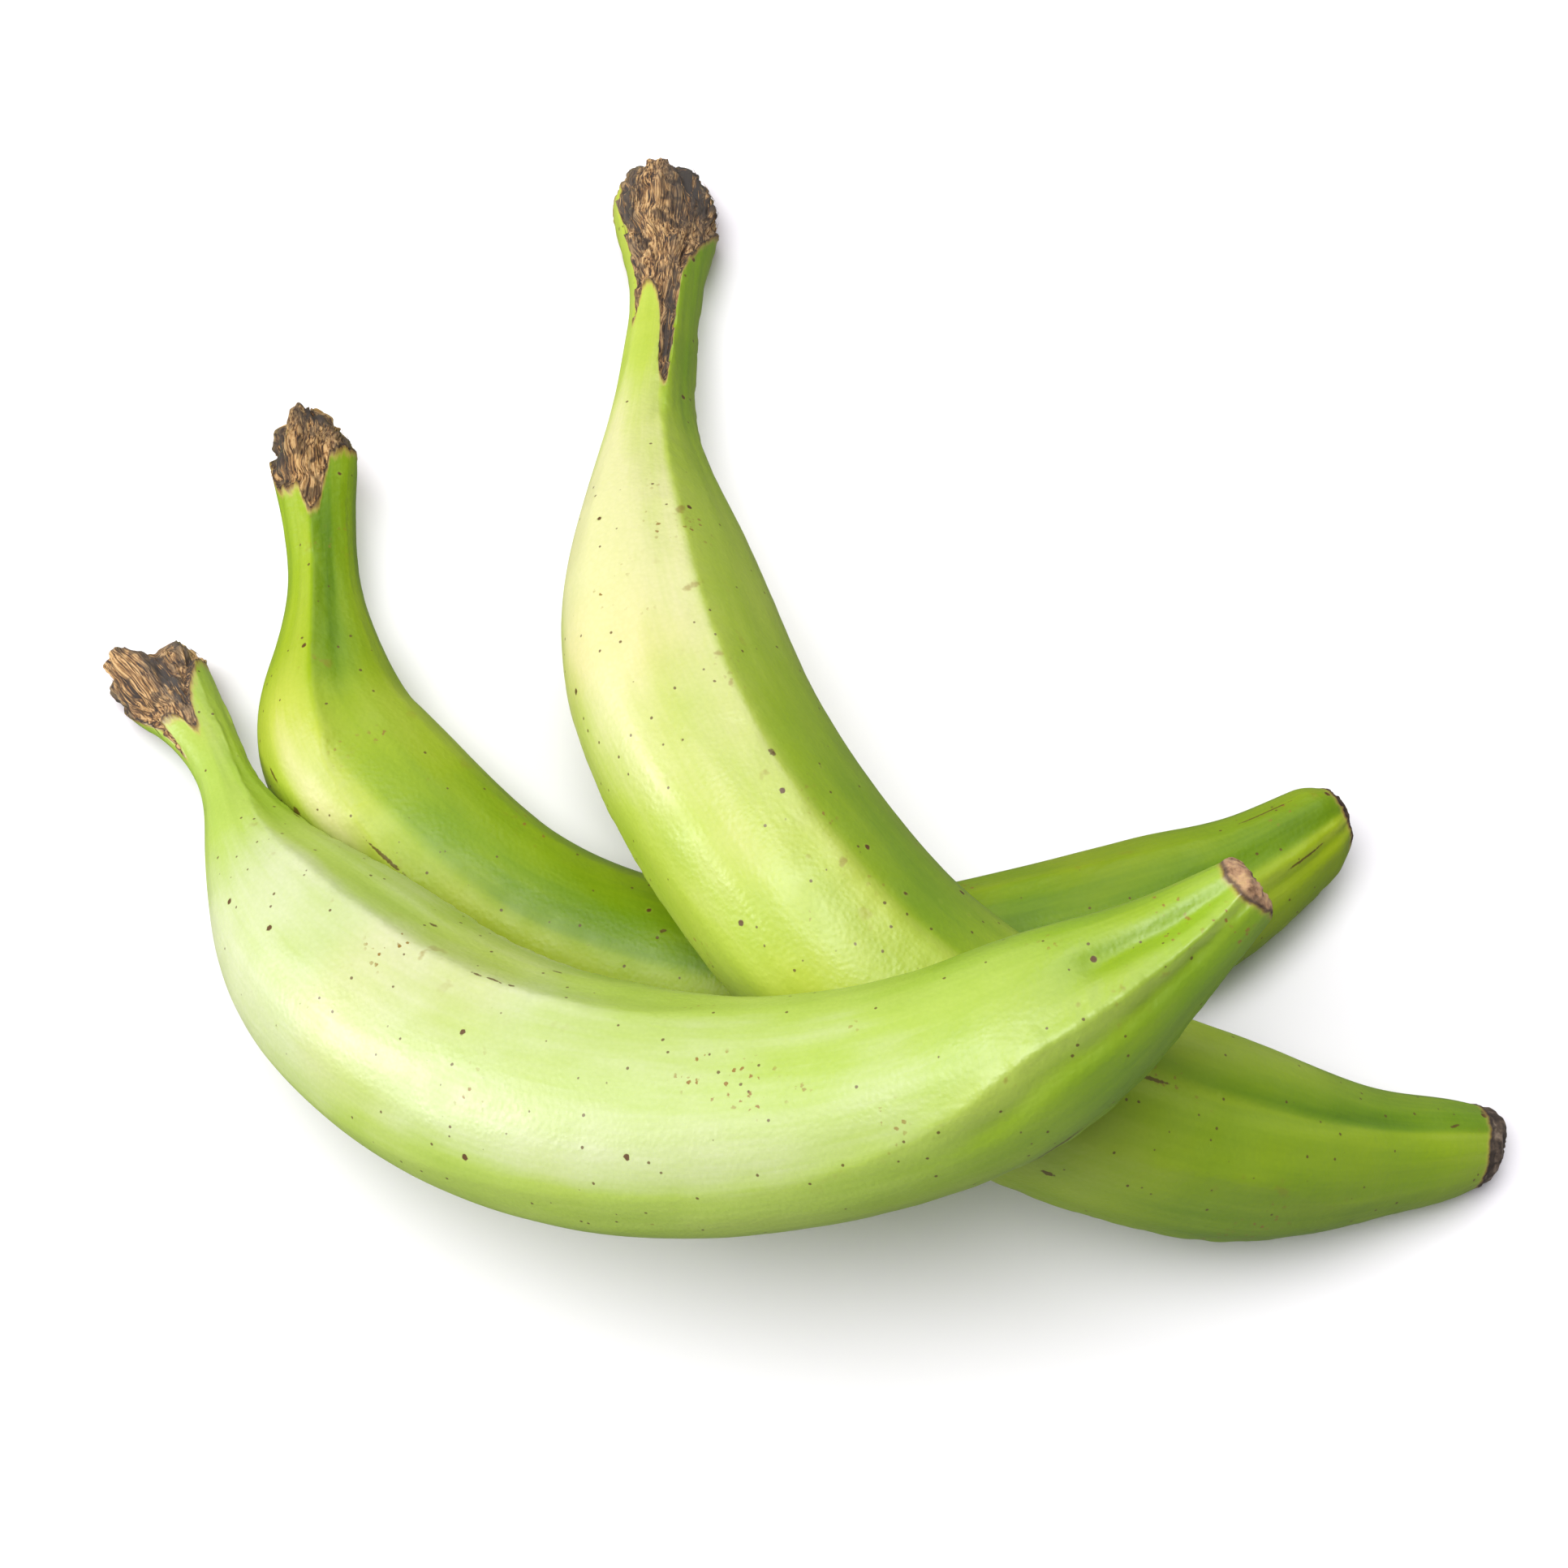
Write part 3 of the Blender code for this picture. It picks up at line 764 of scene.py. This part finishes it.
def mark_mask(desk, place, edge_noise, mark):
    """1 inside a small scar with a ragged outline, measured as if the fruit had its body's girth there."""
    angle = math.radians(mark.degrees)
    middle = (math.cos(angle), math.sin(angle), mark.share)
    offset = desk.vector("SUBTRACT", place, middle)
    across = (-math.sin(angle) * BODY_GIRTH, math.cos(angle) * BODY_GIRTH, 0)
    sideways = desk.vector("DOT_PRODUCT", offset, across)
    lengthways = desk.vector("DOT_PRODUCT", offset, (0, 0, LENGTHWISE / MM))
    turn = math.radians(mark.turn)
    along = desk.total(desk.times(lengthways, math.cos(turn)), desk.times(sideways, math.sin(turn)))
    over = desk.less(desk.times(sideways, math.cos(turn)), desk.times(lengthways, math.sin(turn)))
    radial = desk.vector("LENGTH", desk.vector("MULTIPLY", offset, (1, 1, 0)))
    size = desk.vector("LENGTH", desk.join(desk.shared(along, mark.length / 2),
                                           desk.shared(over, mark.width / 2), radial))
    return desk.ease(desk.total(size, edge_noise), 1.15, 0.75)


def patch_mask(desk, place, patch):
    """1 in the middle of a patch of painted highlight or of charring, down to 0 at its edge."""
    angle = math.radians(patch.degrees)
    offset = desk.vector("SUBTRACT", place, (math.cos(angle), math.sin(angle), patch.share))
    wide = 2 * BODY_GIRTH / patch.width
    offset = desk.vector("MULTIPLY", offset, (wide, wide, 2 * LENGTHWISE / MM / patch.length))
    return desk.ease(desk.vector("LENGTH", offset), 1.4, 0.2)


def peel_material(fruit, looks):
    material, desk, shader = new_material(f"{fruit.name}_peel")
    place = attribute(desk, "round_place", "Vector")
    parts = desk.split(place)
    share = parts["Z"]
    degrees = desk.bearing(parts["X"], parts["Y"])
    on_object = desk.add("ShaderNodeTexCoord").outputs["Object"]
    crest, hollow = attribute(desk, "crest"), attribute(desk, "hollow")

    # Green from pale to deep: along the fruit, round it, in the furrows, and in soft cloudy streaks
    sheath = attribute(desk, "sheath", "Vector")
    clouds = desk.waves(on_object, 38.0, -0.05, 0.05)
    streaks = desk.waves(place, (5, 5, 9), -0.03, 0.03, 3.0, 0.55)
    threads = desk.waves(place, (22, 22, 16), -0.012, 0.012)
    # Painted light in this green: round the fruit it is partly painted shade, deeper green in the furrows is
    # painted shade, and paler crests are a painted highlight.
    green = desk.total(desk.graph(share, fruit.green_along), desk.graph(degrees, fruit.green_round, 360),
                       desk.times(hollow, 0.14), desk.times(crest, -0.06), clouds, streaks, threads,
                       looks.greenness)
    # The pale patches paint highlights into the peel; one with a negative strength deepens the green
    # instead.
    for patch in fruit.patches:
        green = desk.math("MULTIPLY_ADD", patch_mask(desk, place, patch), -patch.strength, green)
    peel = ramp(desk, green, ((0.0, looks.pale_peel), (0.3, looks.light_peel), (0.6, looks.green_peel),
                              (0.85, looks.deep_peel), (1.0, looks.furrow_peel)))
    warmth = desk.ease(desk.noise(on_object, 24.0, 1.0), 0.5, 0.75, 0.0, 0.5)
    peel = desk.vector("MULTIPLY", peel, fruit.tint)
    peel = desk.blend(warmth, peel, desk.vector("MULTIPLY", peel, (1.1, 0.98, 0.92)))
    pores = desk.ease(desk.out(desk.cells(on_object, 950.0), "Distance"), 0.2, 0.75, 0.0, 0.16)
    peel = desk.blend(pores, peel, desk.vector("MULTIPLY", peel, (0.8, 0.86, 0.6)))

    # Specks, freckles and scars
    shifted = desk.vector("ADD", on_object, (fruit.speck_seed,) * 3)
    wobble = desk.ease(desk.noise(on_object, 1400.0, 2.0), 0.2, 0.8, -0.3, 0.3)
    specks = desk.out(desk.cells(shifted, 95.0), "Distance")
    speck = desk.ease(desk.math("MULTIPLY_ADD", wobble, 0.04, specks), 0.07, 0.05)
    halo = desk.ease(specks, 0.11, 0.06, 0.0, 0.15)
    dots = desk.out(desk.cells(shifted, 260.0), "Distance")
    dot = desk.ease(desk.math("MULTIPLY_ADD", wobble, 0.06, dots), 0.1, 0.06, 0.0, 0.85)
    freckle_field = desk.ease(desk.noise(shifted, 46.0, 2.0), 0.63, 0.71)
    freckles = desk.cells(shifted, 750.0)
    lone = desk.split(desk.out(freckles, "Color"))["X"]
    freckle = desk.total(desk.out(freckles, "Distance"), desk.times(wobble, 0.6))
    freckle = desk.times(desk.ease(freckle, 0.36, 0.2), desk.ease(lone, 0.5, 0.7), freckle_field)
    rust = desk.times(crest, desk.ease(desk.noise(shifted, 190.0, 3.0), 0.64, 0.72, 0.0, 0.6))
    peel = desk.blend(halo, peel, looks.light_peel)
    peel = desk.blend(desk.highest(freckle, rust), peel, looks.rust)
    peel = desk.blend(desk.highest(speck, dot), peel, looks.speck)
    scars = 0.0
    for mark in fruit.marks:
        scars = desk.highest(scars, mark_mask(desk, place, wobble, mark))
    peel = desk.blend(desk.times(scars, 0.85), peel, looks.speck)

    # The torn stalk and the blossom scar, each with a dark burnt edge and a yellowed rim of peel
    torn, scar = attribute(desk, "torn"), attribute(desk, "scar")
    torn = desk.total(torn, desk.waves(sheath, (2.4, 2.4, 0.5), -0.3, 0.3, 3.0, 0.6))
    scar = desk.total(scar, desk.times(wobble, 0.5))
    yellowed = desk.highest(desk.ease(torn, -3.0, -0.6), desk.ease(scar, -1.4, -0.2, 0.0, 0.6))
    peel = desk.blend(desk.times(yellowed, 0.75), peel, looks.dry_rim)
    browned = desk.highest(desk.ease(torn, -1.7, 0.0), desk.ease(scar, -0.7, 0.0))
    peel = desk.blend(desk.times(browned, 0.85), peel, looks.bark)
    fibre_colour = torn_colour(desk, sheath, on_object, attribute(desk, "shag"), looks)
    # Torn fibre in the furrows is darkened: painted shade.
    fibre_colour = desk.blend(desk.times(hollow, 0.7), fibre_colour, looks.burnt)
    char_noise = desk.ease(desk.noise(desk.vector("MULTIPLY", sheath, (1.0, 1.0, 0.2)), 1.0, 3.0), 0.3, 0.52)
    for patch in fruit.charring:
        char = desk.times(patch_mask(desk, place, patch), char_noise, patch.strength)
        fibre_colour = desk.blend(char, fibre_colour, looks.charred)
    fibre_colour = desk.blend(desk.ease(torn, 0.9, 0.3, 0.0, 0.8), fibre_colour, looks.burnt)
    peel = desk.blend(desk.ease(torn, -0.2, 0.2), peel, fibre_colour)
    crust_noise = desk.noise(on_object, 420.0, 4.0, 0.65)
    tones = [Vector(dark).lerp(Vector(pale), fruit.crust)
             for dark, pale in ((looks.burnt, looks.bark), (looks.scab, looks.crust),
                                (looks.scab_crest, looks.bleached))]
    crust = ramp(desk, crust_noise, ((0.34, tones[0]), (0.5, tones[1]), (0.68, tones[2])))
    charred = desk.ease(desk.noise(on_object, 260.0, 3.0), 0.5, 0.62, 0.0, 0.85 - 0.3 * fruit.crust)
    crust = desk.blend(charred, crust, looks.burnt)
    # The scar is darker on its lower side: painted shade.
    crust = desk.blend(desk.ease(parts["Y"], 0.1, -0.7, 0.0, 0.7), crust, looks.burnt)
    crust = desk.blend(desk.ease(scar, 1.1, 0.3, 0.0, 0.75), crust, looks.burnt)
    peel = desk.blend(desk.ease(scar, -0.15, 0.2), peel, crust)
    desk.feed(shader.inputs["Base Color"], peel)

    dry = desk.highest(desk.ease(torn, -0.2, 0.4), desk.ease(scar, -0.1, 0.4))
    sheen = desk.waves(on_object, 160.0, looks.gloss_roughness, looks.gloss_roughness + 0.1)
    desk.feed(shader.inputs["Roughness"], desk.either(dry, sheen, DRY_ROUGHNESS))
    shader.inputs["Specular IOR Level"].default_value = fruit.gloss
    shader.inputs["Subsurface Weight"].default_value = FLESH_GLOW
    shader.inputs["Subsurface Radius"].default_value = FLESH_GLOW_COLOUR
    shader.inputs["Subsurface Scale"].default_value = FLESH_GLOW_DEPTH

    # Pebbled peel, and the fibres' and crust's roughness
    pebbles = desk.out(desk.cells(on_object, 1100.0, feature="SMOOTH_F1"), "Distance")
    pebbles = desk.total(desk.times(pebbles, -0.9), desk.times(desk.noise(on_object, 900.0), 0.5))
    strands = fine_strands(desk, drifted_strands(desk, sheath))
    grit = desk.total(desk.times(strands, 3.0), desk.times(crust_noise, 1.6))
    relief = desk.either(dry, pebbles, grit)
    bump = desk.add("ShaderNodeBump", {
        "Height": relief, "Strength": looks.pebble_strength, "Distance": PEBBLE_DEPTH})
    desk.feed(shader.inputs["Normal"], bump.outputs[0])
    return material


def fibre_tones(desk, level, places, looks):
    """Dried fibre from the burnt-and-shade tone to bleached, each tone at its place."""
    return ramp(desk, level, tuple(zip(places, (looks.burnt, looks.bark, looks.straw, looks.bleached))))


def burnt_patches(desk, on_object):
    return desk.ease(desk.noise(on_object, 210.0, 2.0, 0.6), 0.55, 0.64)


def fine_strands(desk, drifted):
    return desk.noise(desk.vector("MULTIPLY", drifted, STRAND_GRAIN), 1.0, 3.0, 0.65)


def torn_colour(desk, sheath, on_object, height, looks):
    """Dry fibre: straw on top of the strands and darker between them and where the crumpled face lies low,
    partly the fibre's own tone and partly painted shade, with cracks and burnt patches.
    """
    drifted = drifted_strands(desk, sheath)
    fine = fine_strands(desk, drifted)
    # Lower fibre and lower crumple get darker tones: painted shade.
    level = desk.total(desk.times(fine, 3.5), desk.times(height, 0.45), -1.38)
    base = fibre_tones(desk, level, (0.2, 0.4, 0.62, 0.85), looks)
    wide = desk.vector("MULTIPLY", drifted, (0.4, 0.4, 0.07))
    wrinkles = desk.cells(wide, 1.0, feature="DISTANCE_TO_EDGE")
    base = desk.blend(desk.ease(desk.out(wrinkles, "Distance"), 0.08, 0.0, 0.0, 0.6), base, looks.burnt)
    return desk.blend(desk.times(burnt_patches(desk, on_object), 0.7), base, looks.burnt)


def fibre_material(looks):
    material, desk, shader = new_material("torn_fibre")
    shade = attribute(desk, "shade")
    on_object = desk.add("ShaderNodeTexCoord").outputs["Object"]
    mottle = desk.waves(on_object, 500.0, -0.2, 0.2, 3.0, 0.6)
    tone = desk.total(shade, mottle, desk.times(burnt_patches(desk, on_object), -0.55))
    desk.feed(shader.inputs["Base Color"], fibre_tones(desk, tone, (0.1, 0.4, 0.7, 1.0), looks))
    shader.inputs["Roughness"].default_value = FIBRE_ROUGHNESS
    bump = desk.add("ShaderNodeBump", {"Height": mottle, "Strength": 0.3, "Distance": FIBRE_GRIT_DEPTH})
    desk.feed(shader.inputs["Normal"], bump.outputs[0])
    return material


# ---------------------------------------------------------------------------------------------------
# Settings


def colour_setting(label, about, default):
    return FloatVectorProperty(name=label, description=about, default=default, subtype="COLOR", min=0, max=1)


def number_setting(label, about, default, **more):
    return FloatProperty(name=label, description=about, default=default, **more)


def angle_setting(label, about, degrees):
    return number_setting(label, about, math.radians(degrees), subtype="ANGLE")


class PlantainPeelSettings(bpy.types.PropertyGroup):
    rings: IntProperty(name="Rings", description="Rings of faces from stalk to tip", default=400, min=50)
    sides: IntProperty(name="Sides", description="Faces round the fruit", default=168, min=24)
    end_rings: IntProperty(name="End rings", description="Rings of faces on each end", default=20, min=2)
    stalk_crowding: number_setting(
        "Stalk crowding", "How much closer the rings lie at the stalk", 1.35, min=1)
    tip_crowding: number_setting("Tip crowding", "How much closer the rings lie at the tip", 1.25, min=1)
    ridge_strength: number_setting(
        "Ridge strength", "Height of the ridges and depth of the furrows", 1.0, min=0)
    greenness: number_setting("Greenness", "Shift from pale to deep green", 0.0)
    gloss_roughness: number_setting("Gloss roughness", "Roughness of the waxy peel", 0.37, subtype="FACTOR")
    pebble_strength: number_setting(
        "Pebble strength", "Strength of the peel's fine pebbling", 0.2, subtype="FACTOR")
    # The pale patches reach this colour as painted highlights.
    pale_peel: colour_setting("Pale peel", "Peel at its palest", (0.65, 0.64, 0.31))
    light_peel: colour_setting("Light peel", "Peel on the light faces", (0.43, 0.53, 0.065))
    green_peel: colour_setting("Green peel", "Peel on the green faces", (0.28, 0.41, 0.009))
    deep_peel: colour_setting("Deep peel", "Peel where it is deep green", (0.15, 0.28, 0.002))
    # This deepest green is reached as painted shade in the furrows and on the sides turned from the lights.
    furrow_peel: colour_setting("Furrow peel", "Peel at the bottom of the furrows", (0.07, 0.17, 0.001))
    rust: colour_setting("Rust", "Freckles and rubbed ridges", (0.27, 0.16, 0.02))
    speck: colour_setting("Speck", "Dark specks and scars", (0.11, 0.05, 0.01))
    dry_rim: colour_setting("Dry rim", "Yellowed peel beside a tear", (0.50, 0.36, 0.09))
    scab: colour_setting("Scab", "Scab on a dark blossom scar", (0.1, 0.066, 0.042))
    scab_crest: colour_setting("Scab crest", "Lumps of a dark blossom scar", (0.27, 0.2, 0.14))
    crust: colour_setting("Crust", "Scab on a pale blossom scar", (0.46, 0.26, 0.14))


class PlantainStalkSettings(bpy.types.PropertyGroup):
    fibre_depth: number_setting("Fibre depth", "How strongly the torn stalk is crumpled", 1.0, min=0)
    fibre_density: number_setting(
        "Fibre density", "Loose fibres on a square metre of torn stalk", 220000, min=0)
    fibre_length: number_setting("Fibre length", "Length of a loose fibre", 0.0055, subtype="DISTANCE")
    fibre_thickness: number_setting(
        "Fibre thickness", "Thickness of a loose fibre", 0.00015, subtype="DISTANCE")
    # This darkest colour also paints shade: in the stalk's furrows, on low fibre and on the scar's lower
    # side.
    burnt: colour_setting("Burnt", "Darkest dried edge", (0.03, 0.018, 0.012))
    charred: colour_setting("Charred", "Dark grey patches of fibre", (0.05, 0.04, 0.034))
    bark: colour_setting("Bark", "Brown dried fibre", (0.16, 0.075, 0.028))
    straw: colour_setting("Straw", "Tan dried fibre", (0.36, 0.19, 0.065))
    bleached: colour_setting("Bleached", "Palest dried fibre", (0.60, 0.38, 0.17))


class PlantainStageSettings(bpy.types.PropertyGroup):
    floor_colour: colour_setting("Floor", "Colour of the floor", (0.95, 0.925, 0.97))
    top_strength: number_setting("Top light", "Strength of the light overhead", 2.7, min=0)
    top_softness: angle_setting("Top softness", "Angle that the light overhead fills", 40)
    side_strength: number_setting("Side light", "Strength of the light at the left", 2.0, min=0)
    side_softness: angle_setting("Side softness", "Angle that the light at the left fills", 30)
    back_strength: number_setting("Back light", "Strength of the light behind", 0.75, min=0)
    fill_strength: number_setting("Fill light", "Strength of the white room", 0.15, min=0)
    camera_height: angle_setting("Camera elevation", "Camera's angle over the table", 70)
    camera_distance: number_setting(
        "Camera distance", "From the camera to the heap", 0.7296, subtype="DISTANCE")
    lens: number_setting("Lens", "Focal length in millimetres", 85, min=10)


class Looks:
    """The peel's and the stalk's settings side by side, for the materials."""

    def __init__(self, scene):
        for group in (scene.plantain_peel, scene.plantain_stalk):
            for name in group.__annotations__:
                value = getattr(group, name)
                setattr(self, name, tuple(value) if hasattr(value, "__len__") else value)


# ---------------------------------------------------------------------------------------------------
# Operators


class PLANTAIN_OT_grow_fruit(bpy.types.Operator):
    """Grow one plantain in its place in the heap"""

    bl_idname = "plantain.grow_fruit"
    bl_label = "Grow Plantain"
    fruit: EnumProperty(name="Fruit", description="Which plantain of the heap",
                        items=[(name, name.title(), f"The {name} plantain") for name in FRUITS])

    def execute(self, context):
        fruit = FRUITS[self.fruit]
        looks = Looks(context.scene)
        spine = spine_line(fruit)
        points = np.array([vertex.co for vertex in spine.vertices])
        length = float(np.linalg.norm(np.diff(points, axis=0), axis=1).sum())
        piece = grown_piece(f"{fruit.name}_fruit", spine, fruit_tree(fruit, length), {
            "Rings": looks.rings, "Sides": looks.sides, "End Rings": looks.end_rings,
            "Stalk Crowding": looks.stalk_crowding, "Tip Crowding": looks.tip_crowding,
            "Ridge Strength": looks.ridge_strength,
            "Fibre Depth": looks.fibre_depth, "Material": peel_material(fruit, looks)})
        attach(piece, "root")
        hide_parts(f"{fruit.name}_plantain")
        return {"FINISHED"}


class PLANTAIN_OT_fray_stalks(bpy.types.Operator):
    """Lay loose fibres on the torn stalks of the plantains"""

    bl_idname = "plantain.fray_stalks"
    bl_label = "Fray Stalks"

    def execute(self, context):
        looks = Looks(context.scene)
        tree = fibre_tree()
        material = fibre_material(looks)
        for seed, fruit in enumerate(FRUITS.values(), start=1):
            skin = bpy.data.objects[f"{fruit.name}_fruit"].data.copy()
            piece = grown_piece(f"{fruit.name}_stalk_fibres", skin, tree, {
                "Density": looks.fibre_density, "Length": looks.fibre_length,
                "Thickness": looks.fibre_thickness, "Seed": seed, "Material": material})
            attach(piece, "root")
        return {"FINISHED"}


class PLANTAIN_OT_set_stage(bpy.types.Operator):
    """Lay the pale floor, light the heap softly and aim the camera"""

    bl_idname = "plantain.set_stage"
    bl_label = "Set Stage"

    def execute(self, context):
        stage = context.scene.plantain_stage
        lay_floor(stage)
        light_room(context.scene, stage)
        aim_camera(context.scene, stage)
        return {"FINISHED"}


def lay_floor(stage):
    """A matt floor. Glossy rays miss it, or the steep sides of the peel would mirror a white veil."""
    mesh = bpy.data.meshes.new("floor")
    corners = [(x * FLOOR_HALF, y * FLOOR_HALF, 0) for x, y in ((-1, -1), (1, -1), (1, 1), (-1, 1))]
    mesh.from_pydata(corners, [], [(0, 1, 2, 3)])
    floor = bpy.data.objects.new("floor", mesh)
    bpy.context.scene.collection.objects.link(floor)
    material, _, shader = new_material("pale_floor")
    shader.inputs["Base Color"].default_value = (*stage.floor_colour, OPAQUE)
    shader.inputs["Roughness"].default_value = FLOOR_ROUGHNESS
    shader.inputs["Specular IOR Level"].default_value = 0.0
    mesh.materials.append(material)
    floor.visible_glossy = False


def hang_light(scene, name, strength, softness, towards):
    light = bpy.data.objects.new(name, bpy.data.lights.new(name, "SUN"))
    light.data.energy = strength
    light.data.angle = softness
    light.rotation_euler = Vector(towards).to_track_quat("Z", "Y").to_euler()
    scene.collection.objects.link(light)


def light_room(scene, stage):
    """A broad light overhead, a smaller one low at the left and a weak one behind, in a white room."""
    world = bpy.data.worlds.new("white_room")
    world.use_nodes = True
    world.node_tree.nodes["Background"].inputs["Color"].default_value = (*WHITE, OPAQUE)
    world.node_tree.nodes["Background"].inputs["Strength"].default_value = stage.fill_strength
    scene.world = world
    hang_light(scene, "top_light", stage.top_strength, stage.top_softness, (-0.2, 0.02, 1))
    hang_light(scene, "side_light", stage.side_strength, stage.side_softness, (-0.9, -0.05, 0.36))
    hang_light(scene, "back_light", stage.back_strength, stage.top_softness, (0.15, 0.75, 0.65))
    scene.view_settings.view_transform = "Standard"


def aim_camera(scene, stage):
    back = Vector((0, -math.cos(stage.camera_height), math.sin(stage.camera_height)))
    camera = bpy.data.objects.new("camera", bpy.data.cameras.new("camera"))
    camera.data.lens = stage.lens
    camera.data.clip_start = NEAREST_SEEN
    camera.location = Vector(AIM_POINT) + back * stage.camera_distance
    camera.rotation_euler = (math.pi / 2 - stage.camera_height, 0, 0)
    scene.collection.objects.link(camera)
    scene.camera = camera


class PLANTAIN_PT_panel(bpy.types.Panel):
    bl_idname = "PLANTAIN_PT_panel"
    bl_label = "Plantain Bunch"
    bl_space_type = "VIEW_3D"
    bl_region_type = "UI"
    bl_category = "Plantains"

    def draw(self, context):
        layout = self.layout
        scene = context.scene
        for group in (scene.plantain_peel, scene.plantain_stalk, scene.plantain_stage):
            box = layout.box()
            for name in group.__annotations__:
                box.prop(group, name)
        for name in FRUITS:
            label = f"Grow {name.title()} Plantain"
            layout.operator(PLANTAIN_OT_grow_fruit.bl_idname, text=label).fruit = name
        layout.operator(PLANTAIN_OT_fray_stalks.bl_idname)
        layout.operator(PLANTAIN_OT_set_stage.bl_idname)


SETTINGS = {"plantain_peel": PlantainPeelSettings, "plantain_stalk": PlantainStalkSettings,
            "plantain_stage": PlantainStageSettings}
CLASSES = (*SETTINGS.values(), PLANTAIN_OT_grow_fruit, PLANTAIN_OT_fray_stalks, PLANTAIN_OT_set_stage,
           PLANTAIN_PT_panel)


def register():
    for item in CLASSES:
        bpy.utils.register_class(item)
    for name, settings in SETTINGS.items():
        setattr(bpy.types.Scene, name, PointerProperty(type=settings))


def unregister():
    for name in SETTINGS:
        delattr(bpy.types.Scene, name)
    for item in reversed(CLASSES):
        bpy.utils.unregister_class(item)


def main():
    register()
    bpy.ops.plantain.set_stage()
    for name in FRUITS:
        bpy.ops.plantain.grow_fruit(fruit=name)
    bpy.ops.plantain.fray_stalks()


if __name__ == "__main__":
    main()
